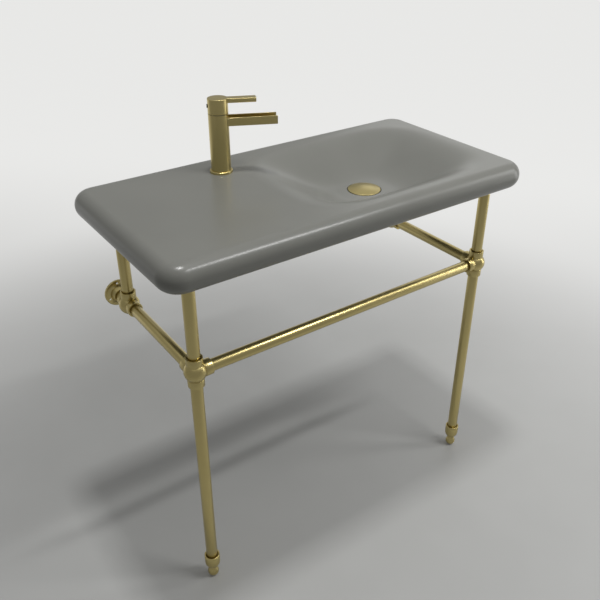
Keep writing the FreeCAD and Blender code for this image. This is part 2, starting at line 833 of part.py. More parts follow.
cartridge_yoke = new_body("cartridge_yoke", **FAUCET)
pushed(cartridge_yoke, lambda sketch: circle(sketch, "valve_bore - 2 * slip_fit"), "yoke_high",
       offset="yoke_under")
pushed(cartridge_yoke, lambda sketch: rectangle(sketch, "-yoke_slot_long / 2", "yoke_slot_long / 2",
                                                "-yoke_slot / 2", "yoke_slot / 2"),
       "yoke_high", offset="yoke_over", cut=True)
pushed(cartridge_yoke, lambda sketch: circle(sketch, "pin_round + 2 * run_fit", "0", "pivot"),
       "valve_bore", role="XZ_Plane", offset="valve_bore / 2", cut=True)

pivot_pin = new_body("pivot_pin", **FAUCET)
pushed(pivot_pin, lambda sketch: circle(sketch, "pin_round", "0", "pivot"), "valve_bore - 2 * pin_inset",
       role="XZ_Plane", offset="pin_inset - valve_bore / 2")

handle_stem = new_body("handle_stem", **FAUCET)
turned(handle_stem, [
    ("0", "stem_tip - stem_ball / 2", "stem_ball / 2"),
    ("stem_ball / 2", "stem_tip", "stem_ball / 2"),
    ("stem_neck / 2", "stem_tip + sqrt((stem_ball / 2)^2 - (stem_neck / 2)^2)"),
    ("stem_neck / 2", "pivot - stem_boss_high / 2"),
    ("stem_boss / 2", "pivot - stem_boss_high / 2"),
    ("stem_boss / 2", "pivot + stem_boss_high / 2"),
    ("stem_round / 2", "pivot + stem_boss_high / 2"),
    ("stem_round / 2", "stem_top"),
    ("0", "stem_top"),
])
pushed(handle_stem, lambda sketch: circle(sketch, "pin_round + 2 * run_fit", "0", "pivot"),
       "stem_boss + 2 * lap", role="XZ_Plane", offset="stem_boss / 2 + lap", cut=True)

handle_cap = new_body("handle_cap", **FAUCET)
turned(handle_cap, [
    ("0", "stem_top"),
    ("stem_round / 2 + slip_fit", "stem_top"),
    ("stem_round / 2 + slip_fit", "hub_under"),
    ("hub_round / 2", "hub_under"),
    ("hub_round / 2", "cap_ceiling"),
    ("column_round / 2 - cap_wall", "cap_ceiling"),
    ("column_round / 2 - cap_wall", "cap_base"),
    ("column_round / 2", "cap_base"),
    ("column_round / 2", "cap_top - cap_edge", "cap_edge"),
    ("column_round / 2 - cap_edge", "cap_top"),
    ("0", "cap_top"),
])
pushed(handle_cap, lambda sketch: circle(sketch, "lever_tenon + 2 * slip_fit", "0",
                                         "lever_over - lever_thick / 2"),
       "lever_tenon_long + slip_fit", role="YZ_Plane", offset="column_round / 2", cut=True)
pushed(handle_cap, lambda sketch: circle(sketch, "screw_round + 2 * slip_fit", "0", "screw_level"),
       "hub_round / 2 + lap", role="YZ_Plane", cut=True)
pushed(handle_cap, lambda sketch: circle(sketch, "plug_round + 2 * slip_fit", "0", "screw_level"),
       "cap_wall + 2 * lap", role="YZ_Plane", offset="cap_wall + lap - column_round / 2", cut=True)

lever_bar = new_body("lever_bar", **FAUCET)


def lever_section(sketch):
    side = "lever_width / 2"
    outline(sketch, [
        ("-" + side, "lever_under + lever_edge", "lever_edge"),
        ("-" + side + " + lever_edge", "lever_under"),
        (side + " - lever_edge", "lever_under", "lever_edge"),
        (side, "lever_under + lever_edge"),
        (side, "lever_over - lever_edge", "lever_edge"),
        (side + " - lever_edge", "lever_over"),
        ("-" + side + " + lever_edge", "lever_over", "lever_edge"),
        ("-" + side, "lever_over - lever_edge"),
    ])


pushed(lever_bar, lever_section, "lever_reach", role="YZ_Plane")
pushed(lever_bar, lambda sketch: circle(sketch, "column_round + 2 * slip_fit"), "lever_thick + 2 * lap",
       offset="lever_over + lap", cut=True)
pushed(lever_bar, lambda sketch: circle(sketch, "lever_tenon", "0", "lever_over - lever_thick / 2"),
       "lever_tenon_long + lap", role="YZ_Plane", offset="column_round / 2 - lever_tenon_long")

handle_set_screw = new_body("handle_set_screw", **FAUCET)
pushed(handle_set_screw, lambda sketch: circle(sketch, "screw_round", "0", "screw_level"),
       "screw_long", role="YZ_Plane", offset="-stem_round / 2 - slip_fit", backwards=True)

handle_plug = new_body("handle_plug", **FAUCET)
pushed(handle_plug, lambda sketch: circle(sketch, "plug_round", "0", "screw_level"),
       "cap_wall + plug_proud", role="YZ_Plane", offset="cap_wall - column_round / 2", backwards=True)

fixing_stud = new_body("fixing_stud", **FAUCET)
pushed(fixing_stud, lambda sketch: circle(sketch, "stud_round", "stud_front"),
       "column_gasket + stud_deep - deck_under + stud_below", offset="deck_under - stud_below")


def clamp_section(sketch):
    """A horseshoe: a disc with a slot open to the back for the supply hoses."""
    flank = "sqrt((clamp_round / 2)^2 - (clamp_slot / 2)^2)"
    outline(sketch, [
        ("-" + flank, "-clamp_slot / 2", "clamp_round / 2"),
        ("0", "-clamp_round / 2", "clamp_round / 2"),
        ("clamp_round / 2", "0", "clamp_round / 2"),
        ("0", "clamp_round / 2", "clamp_round / 2"),
        ("-" + flank, "clamp_slot / 2"),
        ("stud_front - stud_round", "clamp_slot / 2"),
        ("stud_front - stud_round", "-clamp_slot / 2"),
    ])
    circle(sketch, "stud_round + 2 * slip_fit", "stud_front")


horseshoe_gasket = new_body("horseshoe_gasket", **FAUCET)
pushed(horseshoe_gasket, clamp_section, "clamp_gasket", offset="deck_under - clamp_gasket")

horseshoe_washer = new_body("horseshoe_washer", **FAUCET)
pushed(horseshoe_washer, clamp_section, "clamp_plate",
       offset="deck_under - clamp_gasket - clamp_plate")

fixing_nut = new_body("fixing_nut", **FAUCET)


def stud_nut_section(sketch):
    hexagon(sketch, "stud_nut_flats", "stud_front")
    circle(sketch, "stud_round + 2 * slip_fit", "stud_front")


pushed(fixing_nut, stud_nut_section, "stud_nut_thick",
       offset="deck_under - clamp_gasket - clamp_plate - stud_nut_thick")


# Stand

def collar(body, role, axis, hand, reach):
    """One socket collar of a ball tee along a sketch axis, with its groove, mouth and bore."""
    flat = axis == "H_Axis"

    def spot(along, radius):
        along = along if hand > 0 else "-(" + along + ")"
        return (along, radius) if flat else (radius, along)

    def half_section(corners):
        """The corners in counter-clockwise order for this direction."""
        return corners if (hand > 0) == flat else corners[::-1]

    step = "sqrt((ball_round / 2)^2 - (collar_round / 2)^2)"
    turned(body, half_section([
        spot("ball_round / 4", "0"),
        spot(reach, "0"),
        spot(reach, "collar_round / 2 - edge_break"),
        spot(reach + " - edge_break", "collar_round / 2"),
        spot(step + " + collar_groove", "collar_round / 2"),
        spot(step + " + collar_groove", "collar_round / 2 - collar_groove_deep"),
        spot("ball_round / 4", "collar_round / 2 - collar_groove_deep"),
    ]), role, axis)
    return half_section([
        spot("socket_floor", "0"),
        spot(reach + " + lap", "0"),
        spot(reach + " + lap", "mouth_round / 2"),
        spot(reach + " - mouth_deep", "mouth_round / 2"),
        spot(reach + " - mouth_deep", "tube_round / 2 + slip_fit"),
        spot("socket_floor", "tube_round / 2 + slip_fit"),
    ]), role, axis


def ball_tee(label, arms, **spot):
    """A ball with socket collars: arms lists plane, axis, direction and reach."""
    body = new_body(label, **spot)
    turned(body, [
        ("0", "-ball_round / 2", "ball_round / 2"),
        ("ball_round / 2", "0", "ball_round / 2"),
        ("0", "ball_round / 2"),
    ])
    bores = [collar(body, *arm) for arm in arms]
    for corners, role, axis in bores:
        turned(body, corners, role, axis, cut=True)
    return body


CORNER_ARMS = [
    ("XZ_Plane", "V_Axis", 1, "collar_reach"),
    ("XZ_Plane", "V_Axis", -1, "collar_reach"),
    ("XZ_Plane", "H_Axis", 1, "collar_reach"),
    ("YZ_Plane", "H_Axis", 1, "collar_reach"),
]
REAR_ARMS = [
    ("XZ_Plane", "V_Axis", 1, "collar_reach"),
    ("YZ_Plane", "H_Axis", -1, "collar_reach"),
    ("YZ_Plane", "H_Axis", 1, "wall_collar_reach"),
]
TOWARDS_FRONT = (Vector(1, 0, 0), 90)
TOWARDS_RIGHT = (Vector(0, 1, 0), 90)


def foot_cup(label, **spot):
    """The turned cup at the foot of a leg, with Z = 0 on the floor."""
    body = new_body(label, **spot)
    turned(body, [
        ("foot_stud / 2 + slip_fit", "cup_bottom"),
        ("cup_waist / 2", "cup_bottom", "cup_swell"),
        ("cup_round / 2", "cup_bottom + cup_swell_high"),
        ("cup_round / 2", "cup_top - edge_break"),
        ("cup_round / 2 - edge_break", "cup_top"),
        ("mouth_round / 2", "cup_top"),
        ("mouth_round / 2", "cup_top - mouth_deep"),
        ("tube_round / 2 + slip_fit", "cup_top - mouth_deep"),
        ("tube_round / 2 + slip_fit", "cup_seat"),
        ("foot_stud / 2 + slip_fit", "cup_seat"),
    ])


def ball_foot(label, **spot):
    """The levelling foot: a ball with a small flat, a neck and a stud."""
    body = new_body(label, **spot)
    middle = "sqrt((ball_foot / 2)^2 - (ball_foot_flat / 2)^2)"
    neck_level = middle + " + sqrt((ball_foot / 2)^2 - (foot_neck / 2)^2)"
    turned(body, [
        ("0", "0"),
        ("ball_foot_flat / 2", "0", "ball_foot / 2"),
        ("ball_foot / 2", middle, "ball_foot / 2"),
        ("foot_neck / 2", neck_level),
        ("foot_neck / 2", "cup_bottom - foot_gap"),
        ("foot_stud / 2", "cup_bottom - foot_gap"),
        ("foot_stud / 2", "foot_stud_top"),
        ("0", "foot_stud_top"),
    ])


def wall_flange(label, **spot):
    """The wall plate with its coned hub, with Z = 0 on the wall."""
    body = new_body(label, **spot)
    turned(body, [
        ("0", "0"),
        ("plate_round / 2", "0"),
        ("plate_round / 2", "plate_thick - plate_edge", "plate_edge"),
        ("plate_round / 2 - plate_edge", "plate_thick"),
        ("hub_base / 2", "plate_thick"),
        ("hub_mouth / 2", "hub_reach"),
        ("tube_round / 2 + slip_fit", "hub_reach"),
        ("tube_round / 2 + slip_fit", "stub_seat"),
        ("0", "stub_seat"),
    ])
    hole = pushed(body, lambda sketch: circle(sketch, "plate_hole", "0", "plate_holes_round / 2"),
                  "plate_thick", offset="plate_thick", cut=True)
    doc.recompute()
    pattern = body.newObject("PartDesign::PolarPattern", label + "_holes")
    pattern.Originals = [hole]
    pattern.Axis = (hole.Profile[0], ["N_Axis"])
    pattern.Angle = 360.0
    pattern.setExpression("Occurrences", ex("plate_hole_count"))
    body.Tip = pattern


def post_cap(label, **spot):
    """The plug and flange at the top of a post, with Z = 0 at the flange's top."""
    body = new_body(label, **spot)
    turned(body, [
        ("0", "-post_flange_thick - post_spigot"),
        ("tube_in - slip_fit", "-post_flange_thick - post_spigot"),
        ("tube_in - slip_fit", "-post_flange_thick"),
        ("post_flange / 2", "-post_flange_thick"),
        ("post_flange / 2", "-edge_break"),
        ("post_flange / 2 - edge_break", "0"),
        ("0", "0"),
    ])


for side, hand in (("left", "-"), ("right", "+")):
    at_leg = "stand_shift " + hand + " leg_x"
    front = "-leg_wall"
    rear = "-rear_wall"
    quarter = None if side == "left" else (UP, 90)
    tube(side + "_leg", "tee_height - socket_floor - cup_seat", x=at_leg, y=front, z="cup_level")
    foot_cup(side + "_foot_cup", x=at_leg, y=front, z="floor")
    ball_foot(side + "_ball_foot", x=at_leg, y=front, z="floor")
    ball_tee(side + "_front_tee", CORNER_ARMS, x=at_leg, y=front, z="tee_level", turn=quarter)
    ball_tee(side + "_rear_tee", REAR_ARMS, x=at_leg, y=rear, z="tee_level")
    tube(side + "_side_rail", "leg_wall - rear_wall - 2 * socket_floor",
         x=at_leg, y="-rear_wall - socket_floor", z="tee_level", turn=TOWARDS_FRONT)
    tube(side + "_wall_stub", "rear_wall - socket_floor - stub_seat",
         x=at_leg, y="-stub_seat", z="tee_level", turn=TOWARDS_FRONT)
    wall_flange(side + "_wall_flange", x=at_leg, z="tee_level", turn=TOWARDS_FRONT)
    for place_name, depth in (("front", front), ("rear", rear)):
        tube("%s_%s_post" % (side, place_name), "post_top - tee_level - socket_floor",
             x=at_leg, y=depth, z="tee_level + socket_floor")
        post_cap("%s_%s_post_cap" % (side, place_name), x=at_leg, y=depth, z="seat_level")

tube("front_rail", "2 * leg_x - 2 * socket_floor", x="stand_shift - leg_x + socket_floor", y="-leg_wall",
     z="tee_level", turn=TOWARDS_RIGHT)


def make_pads():
    """Four thin rubber discs between the post flanges and the basin."""
    pads = []
    for hand in (-1, 1):
        for depth in (val("leg_wall"), val("rear_wall")):
            foot = Vector(val("stand_shift") + hand * val("leg_x"), -depth, val("seat_level"))
            pads.append(rod("post_flange - 2 * post_pad_margin", foot, UP, "post_pad_thick"))
    return Part.makeCompound(pads)


post_pads = doc.addObject("Part::Feature", "post_pads")
post_pads.Label = "post_pads"
post_pads.Shape = make_pads()
post_pads.Placement = FreeCAD.Placement()
parts.append(post_pads)

# Check the document, then write every sub-part

doc.recompute()
for item in doc.Objects:
    if "Invalid" in item.State or "Error" in item.State:
        raise RuntimeError("%s failed: %s" % (item.Label, item.State))
for piece in parts:
    if piece.Shape.isNull() or not piece.Shape.isValid() or not piece.Shape.Solids:
        raise RuntimeError("%s has no valid solid" % piece.Label)

os.makedirs("parts", exist_ok=True)
for piece in parts:
    piece.Shape.exportStep("parts/%s.step" % piece.Label)
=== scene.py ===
import json
import math

import bmesh
import bpy
from mathutils import Matrix, Vector

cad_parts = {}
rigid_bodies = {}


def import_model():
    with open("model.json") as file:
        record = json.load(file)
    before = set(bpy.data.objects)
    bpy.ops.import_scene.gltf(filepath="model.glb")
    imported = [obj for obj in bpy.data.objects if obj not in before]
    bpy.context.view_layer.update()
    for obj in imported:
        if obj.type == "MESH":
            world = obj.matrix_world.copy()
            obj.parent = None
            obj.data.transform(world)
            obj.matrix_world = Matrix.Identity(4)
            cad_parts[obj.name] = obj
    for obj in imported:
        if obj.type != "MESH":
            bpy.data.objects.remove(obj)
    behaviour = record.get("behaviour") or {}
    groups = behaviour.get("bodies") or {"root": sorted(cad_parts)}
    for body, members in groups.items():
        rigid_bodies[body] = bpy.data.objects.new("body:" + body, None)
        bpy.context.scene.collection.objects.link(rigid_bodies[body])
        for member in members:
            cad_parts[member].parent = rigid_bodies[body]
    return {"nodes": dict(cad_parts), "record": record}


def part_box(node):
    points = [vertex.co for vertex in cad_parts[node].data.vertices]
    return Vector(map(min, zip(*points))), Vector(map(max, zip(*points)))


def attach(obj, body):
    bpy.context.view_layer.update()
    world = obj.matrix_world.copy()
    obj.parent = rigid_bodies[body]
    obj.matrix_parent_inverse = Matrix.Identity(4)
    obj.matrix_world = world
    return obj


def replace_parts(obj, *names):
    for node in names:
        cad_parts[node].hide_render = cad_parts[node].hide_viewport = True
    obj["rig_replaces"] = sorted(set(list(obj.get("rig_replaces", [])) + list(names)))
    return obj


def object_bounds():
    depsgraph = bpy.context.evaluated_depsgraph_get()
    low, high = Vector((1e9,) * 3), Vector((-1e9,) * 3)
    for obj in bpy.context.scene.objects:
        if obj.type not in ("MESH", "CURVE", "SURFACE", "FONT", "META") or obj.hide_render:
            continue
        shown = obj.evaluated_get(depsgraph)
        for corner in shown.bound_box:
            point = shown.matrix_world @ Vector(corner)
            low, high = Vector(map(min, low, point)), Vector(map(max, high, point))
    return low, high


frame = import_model()
CAD_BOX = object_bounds()

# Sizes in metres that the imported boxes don't give
MM = 0.001
SLAB_THICK = 58 * MM
CORNER_ROUND = 46 * MM
EDGE_ROUND = 28.5 * MM
BACK_REACH = 16 * MM
RIM_INSET = 1 * MM
BOWL_HALF_LENGTH = 260 * MM
BOWL_MARGIN = 30 * MM
BOWL_DROP = 66 * MM
BOWL_FLOOR_HALF = 42 * MM
SHELL_WALL = 18 * MM
EDGE_WALL = 38 * MM
SEAT_WIDTH = 112 * MM
SEAT_DEPTH = 100 * MM
HOLLOW_ROUND = 20 * MM
FAUCET_HOLE = 35 * MM
DRAIN_HOLE = 45 * MM
RECESS_ROUND = 79 * MM
RECESS_DEEP = 6 * MM
HANGER_HOLE = 14 * MM
HANGER_SPACING = 280 * MM
GROUND_MARGIN = 2 * MM
BALL_RADIUS = 23 * MM
COLLAR_RADIUS = 17 * MM
COLLAR_GROOVE = 1.4 * MM
COLLAR_GROOVE_DEEP = 0.6 * MM
COLLAR_EDGE = 0.4 * MM
MOUTH_RADIUS = 14.2 * MM
MOUTH_DEEP = 3 * MM
SOCKET_FLOOR = 15 * MM
TUBE_WALL = 1.2 * MM
TUBE_EDGE = 0.25 * MM
SPOUT_EDGE = 0.45 * MM
LEVER_EDGE = 0.5 * MM

# How far cutting shapes go past the faces they cut
DEEP_OVERCUT = 10 * MM
HANGER_OVERCUT = 4 * MM
FACE_OVERCUT = 1 * MM

# Distances at which points count as one and heights as the same
WELD = 0.001 * MM
CAD_WELD = 0.002 * MM
SAME_HEIGHT = 0.1 * MM

UP = Vector((0, 0, 1))


# Reading the frame

def middle(node):
    """Centre of a node's box."""
    low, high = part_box(node)
    return (low + high) / 2


def extent(node):
    """Size of a node's box."""
    low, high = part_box(node)
    return high - low


def body_of_node(node):
    groups = frame["record"]["behaviour"]["bodies"]
    return next(body for body, members in groups.items() if node in members)


def slot_of_node(node):
    rows = frame["record"]["subparts"]
    return next(row["material_slot"] for row in rows if row["node"] == node)


# Making meshes

def turn_to(direction):
    """Rotation that takes +Z to a direction."""
    return UP.rotation_difference(Vector(direction)).to_matrix().to_4x4()


def place(bm, matrix):
    """Move a bmesh's points by a matrix."""
    bmesh.ops.transform(bm, matrix=matrix, verts=bm.verts)


def lathe(bm, profile, segments=96):
    """Spin a half section, given as radius and height pairs, about the Z axis."""
    verts = [bm.verts.new((radius, 0, height)) for radius, height in profile]
    edges = [bm.edges.new(pair) for pair in zip(verts, verts[1:])]
    bmesh.ops.spin(bm, geom=verts + edges, cent=(0, 0, 0), axis=UP, angle=2 * math.pi,
                   steps=segments, use_merge=True)
    bmesh.ops.remove_doubles(bm, verts=bm.verts, dist=WELD)
    bmesh.ops.recalc_face_normals(bm, faces=bm.faces)


def round_edges(bm, edges, width, segments=3, clamp=False):
    """Bevel edges to a round of a width."""
    bmesh.ops.bevel(bm, geom=edges, offset=width, offset_type="OFFSET", segments=segments,
                    profile=0.5, affect="EDGES", material=-1, clamp_overlap=clamp)


def soften(bm, width, angle=40):
    """Round every edge that turns by more than an angle, in degrees."""
    sharp = [edge for edge in bm.edges
             if edge.is_manifold and edge.calc_face_angle(0) > math.radians(angle)]
    round_edges(bm, sharp, width, clamp=True)


def rod(radius, start, direction, length, segments=96):
    """A closed round bar from a start point along a direction."""
    bm = bmesh.new()
    bmesh.ops.create_cone(bm, cap_ends=True, segments=segments, radius1=radius, radius2=radius,
                          depth=length)
    place(bm, Matrix.Translation(start) @ turn_to(direction) @ Matrix.Translation((0, 0, length / 2)))
    return bm


def loose_object(bm, name):
    """Put a bmesh into the scene as a working object."""
    mesh = bpy.data.meshes.new(name)
    bm.to_mesh(mesh)
    bm.free()
    item = bpy.data.objects.new(name, mesh)
    bpy.context.scene.collection.objects.link(item)
    return item


def cut_or_join(bm, steps):
    """Join closed shapes to a closed shape, or cut them from it, in the given order."""
    blank = loose_object(bm, "blank")
    tools = []
    for way, tool in steps:
        item = loose_object(tool, "tool")
        tools.append(item)
        step = blank.modifiers.new(way, "BOOLEAN")
        step.operation = way
        step.solver = "EXACT"
        step.object = item
    shaped = bmesh.new()
    shaped.from_object(blank, bpy.context.evaluated_depsgraph_get())
    for item in [blank] + tools:
        mesh = item.data
        bpy.data.objects.remove(item)
        bpy.data.meshes.remove(mesh)
    bmesh.ops.remove_doubles(shaped, verts=shaped.verts, dist=WELD)
    return shaped


def finish_piece(bm, node, sharp_angle=38):
    """Turn a bmesh into the smooth piece that stands for a node."""
    piece = loose_object(bm, node + "_piece")
    piece.data.shade_smooth()
    piece.data.set_sharp_from_angle(angle=math.radians(sharp_angle))
    slot = slot_of_node(node)
    piece.data.materials.append(finishes[slot])
    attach(piece, body_of_node(node))
    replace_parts(piece, node)
    return piece


# Finishes

def new_finish(name):
    """A node material, with what is needed to add nodes to it."""
    finish = bpy.data.materials.new(name)
    finish.use_nodes = True
    nodes = finish.node_tree.nodes
    links = finish.node_tree.links
    return finish, nodes, links, nodes["Principled BSDF"]


def noise(nodes, links, scale, detail=3.0, stretch=(1, 1, 1)):
    """A noise pattern on the piece's own coordinates."""
    where = nodes.new("ShaderNodeTexCoord")
    mapping = nodes.new("ShaderNodeMapping")
    mapping.inputs["Scale"].default_value = stretch
    pattern = nodes.new("ShaderNodeTexNoise")
    pattern.inputs["Scale"].default_value = scale
    pattern.inputs["Detail"].default_value = detail
    links.new(where.outputs["Object"], mapping.inputs["Vector"])
    links.new(mapping.outputs["Vector"], pattern.inputs["Vector"])
    return pattern.outputs["Fac"]


def blend_colours(nodes, links, factor, dark, light, socket):
    """Run a colour ramp from dark to light over a pattern into a socket."""
    ramp = nodes.new("ShaderNodeValToRGB")
    ramp.color_ramp.elements[0].position = 0.35
    ramp.color_ramp.elements[1].position = 0.65
    ramp.color_ramp.elements[0].color = (*dark, 1)
    ramp.color_ramp.elements[1].color = (*light, 1)
    links.new(factor, ramp.inputs["Fac"])
    links.new(ramp.outputs["Color"], socket)


def spread(nodes, links, factor, low, high, socket):
    """Map a pattern to a range of values for a socket."""
    scale = nodes.new("ShaderNodeMapRange")
    scale.inputs["From Min"].default_value = 0.3
    scale.inputs["From Max"].default_value = 0.7
    scale.inputs["To Min"].default_value = low
    scale.inputs["To Max"].default_value = high
    links.new(factor, scale.inputs["Value"])
    links.new(scale.outputs["Result"], socket)


def ripple(nodes, links, factor, strength, distance, shader):
    """A fine bump on the shader from a pattern."""
    bump = nodes.new("ShaderNodeBump")
    bump.inputs["Strength"].default_value = strength
    bump.inputs["Distance"].default_value = distance
    links.new(factor, bump.inputs["Height"])
    links.new(bump.outputs["Normal"], shader.inputs["Normal"])


def glaze_finish():
    """Warm grey glaze with a soft gloss and a faint cloudiness."""
    finish, nodes, links, shader = new_finish("grey_glaze")
    blend_colours(nodes, links, noise(nodes, links, 7, 2), (0.188, 0.189, 0.171), (0.198, 0.199, 0.180),
                  shader.inputs["Base Color"])
    spread(nodes, links, noise(nodes, links, 14, 2), 0.28, 0.30, shader.inputs["Roughness"])
    return finish


def brass_finish():
    """Satin brass with a slow change of tone."""
    finish, nodes, links, shader = new_finish("satin_brass")
    shader.inputs["Metallic"].default_value = 1.0
    blend_colours(nodes, links, noise(nodes, links, 12, 2), (0.560, 0.466, 0.203), (0.590, 0.491, 0.219),
                  shader.inputs["Base Color"])
    spread(nodes, links, noise(nodes, links, 25, 2), 0.285, 0.32, shader.inputs["Roughness"])
    return finish


def rubber_finish():
    """Dull black rubber with a fine skin."""
    finish, nodes, links, shader = new_finish("black_rubber")
    blend_colours(nodes, links, noise(nodes, links, 300, 4), (0.012, 0.012, 0.012),
                  (0.022, 0.022, 0.021), shader.inputs["Base Color"])
    shader.inputs["Roughness"].default_value = 0.7
    ripple(nodes, links, noise(nodes, links, 700, 3), 0.2, 0.1 * MM, shader)
    return finish


def steel_finish():
    """Steel with a grain drawn out along the piece's height."""
    finish, nodes, links, shader = new_finish("brushed_steel")
    shader.inputs["Metallic"].default_value = 1.0
    grain = noise(nodes, links, 500, 3, stretch=(1, 1, 0.1))
    blend_colours(nodes, links, grain, (0.46, 0.46, 0.455), (0.56, 0.56, 0.55),
                  shader.inputs["Base Color"])
    spread(nodes, links, grain, 0.28, 0.42, shader.inputs["Roughness"])
    return finish


def plastic_finish(name, dark, light):
    """Moulded plastic, or ceramic of the same dull sheen."""
    finish, nodes, links, shader = new_finish(name)
    blend_colours(nodes, links, noise(nodes, links, 200, 3), dark, light, shader.inputs["Base Color"])
    spread(nodes, links, noise(nodes, links, 600, 2), 0.42, 0.52, shader.inputs["Roughness"])
    return finish


finishes = {
    "glaze": glaze_finish(),
    "brass": brass_finish(),
    "rubber": rubber_finish(),
    "steel": steel_finish(),
    "plastic": plastic_finish("white_plastic", (0.55, 0.55, 0.53), (0.62, 0.62, 0.60)),
    "dark_plastic": plastic_finish("dark_plastic", (0.012, 0.012, 0.012), (0.02, 0.02, 0.02)),
    "disc_ceramic": plastic_finish("disc_ceramic", (0.74, 0.74, 0.71), (0.80, 0.80, 0.77)),
}


# Basin

BASIN_LOW, BASIN_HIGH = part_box("basin")
RIM = BASIN_HIGH.z
SLAB_BOTTOM = RIM - SLAB_THICK
BASIN_DEPTH = -BASIN_LOW.y
DRAIN = middle("stopper_cap")
FAUCET = middle("handle_cap")
BOWL_FLOOR = RIM - BOWL_DROP
BOWL_HALF_WIDTH = BASIN_DEPTH / 2 - BOWL_MARGIN
BOWL_COLUMNS = 88
BOWL_ROWS = 66


def bowl_share(x, y):
    """How much of the full drop the bowl has at a point."""
    across = abs(x - DRAIN.x) / BOWL_HALF_LENGTH
    along = abs(y - DRAIN.y) / BOWL_HALF_WIDTH
    ring = (across ** 4 + along ** 4) ** 0.25
    floor = BOWL_FLOOR_HALF / BOWL_HALF_WIDTH
    run = min(max((ring - floor) / (1 - floor), 0), 1)
    return 0.5 * (1 + math.cos(math.pi * run))


def rise(edge):
    """Height between an edge's two ends."""
    return abs(edge.verts[0].co.z - edge.verts[1].co.z)


def level_faces(bm, height):
    """Faces that lie flat at a height."""
    return [face for face in bm.faces
            if abs(face.normal.z) > 0.999 and abs(face.calc_center_median().z - height) < SAME_HEIGHT]


def score(bm, faces, spot, way):
    """Cut faces along a plane."""
    geom = set(faces)
    for face in faces:
        geom.update(face.edges)
        geom.update(face.verts)
    bmesh.ops.bisect_plane(bm, geom=list(geom), dist=WELD, plane_co=spot, plane_no=way)


def sink_bowl(bm, height):
    """Score a fine grid over the faces at a height and lower it by the bowl's form."""
    for column in range(BOWL_COLUMNS + 1):
        x = DRAIN.x + BOWL_HALF_LENGTH * (2 * column / BOWL_COLUMNS - 1)
        score(bm, level_faces(bm, height), (x, 0, 0), (1, 0, 0))
    for row in range(BOWL_ROWS + 1):
        y = DRAIN.y + BOWL_HALF_WIDTH * (2 * row / BOWL_ROWS - 1)
        score(bm, level_faces(bm, height), (0, y, 0), (0, 1, 0))
    for vert in {vert for face in level_faces(bm, height) for vert in face.verts}:
        vert.co.z = height - BOWL_DROP * bowl_share(vert.co.x, vert.co.y)


def rounded_slab():
    """The slab with round corners and a full round edge, ground flat at the back."""
    bm = bmesh.new()
    bmesh.ops.create_cube(bm, size=1)
    size = Vector((BASIN_HIGH.x - BASIN_LOW.x, BASIN_DEPTH + BACK_REACH, SLAB_THICK))
    centre = Vector((middle("basin").x, (BACK_REACH - BASIN_DEPTH) / 2, RIM - SLAB_THICK / 2))
    place(bm, Matrix.Translation(centre) @ Matrix.Diagonal((*size, 1)))
    upright = [edge for edge in bm.edges if rise(edge) > SLAB_THICK / 2]
    round_edges(bm, upright, CORNER_ROUND, segments=20)
    level = [edge for edge in bm.edges if rise(edge) < SAME_HEIGHT]
    round_edges(bm, level, EDGE_ROUND, segments=16)
    everything = bm.verts[:] + bm.edges[:] + bm.faces[:]
    bmesh.ops.bisect_plane(bm, geom=everything, plane_co=(0, 0, 0), plane_no=(0, 1, 0),
                           clear_outer=True)
    bmesh.ops.holes_fill(bm, edges=[edge for edge in bm.edges if edge.is_boundary])
    bmesh.ops.inset_region(bm, faces=level_faces(bm, RIM), thickness=RIM_INSET, use_even_offset=True)
    return bm


def hollow_roof():
    """The hollow's roof and side walls, with a seat for a post left at each corner."""
    bm = bmesh.new()
    height = RIM - SHELL_WALL
    half = (BASIN_HIGH.x - BASIN_LOW.x) / 2
    outer = half - EDGE_WALL
    inner = half - SEAT_WIDTH
    front = EDGE_WALL - BASIN_DEPTH
    front_seat = SEAT_DEPTH - BASIN_DEPTH
    corners = [(-inner, front), (inner, front), (inner, front_seat), (outer, front_seat),
               (outer, -SEAT_DEPTH), (inner, -SEAT_DEPTH), (inner, -EDGE_WALL), (-inner, -EDGE_WALL),
               (-inner, -SEAT_DEPTH), (-outer, -SEAT_DEPTH), (-outer, front_seat), (-inner, front_seat)]
    bm.faces.new([bm.verts.new((x, y, height)) for x, y in corners])
    bmesh.ops.bevel(bm, geom=bm.verts[:], offset=HOLLOW_ROUND, offset_type="OFFSET", segments=8,
                    profile=0.5, affect="VERTICES", material=-1)
    walls = bmesh.ops.extrude_edge_only(bm, edges=bm.edges[:])
    for item in walls["geom"]:
        if isinstance(item, bmesh.types.BMVert):
            item.co.z = SLAB_BOTTOM
    sink_bowl(bm, height)
    return bm


def basin_blank():
    """The slab with its bowl above and its hollow below, as one closed shell."""
    bm = rounded_slab()
    sink_bowl(bm, RIM)
    bmesh.ops.delete(bm, geom=level_faces(bm, SLAB_BOTTOM), context="FACES_ONLY")
    roof = bpy.data.meshes.new("roof")
    hollow = hollow_roof()
    hollow.to_mesh(roof)
    hollow.free()
    bm.from_mesh(roof)
    bpy.data.meshes.remove(roof)
    mouth = [edge for edge in bm.edges if edge.is_boundary]
    bmesh.ops.triangle_fill(bm, edges=mouth, use_beauty=True, normal=(0, 0, -1))
    bmesh.ops.recalc_face_normals(bm, faces=bm.faces)
    return bm


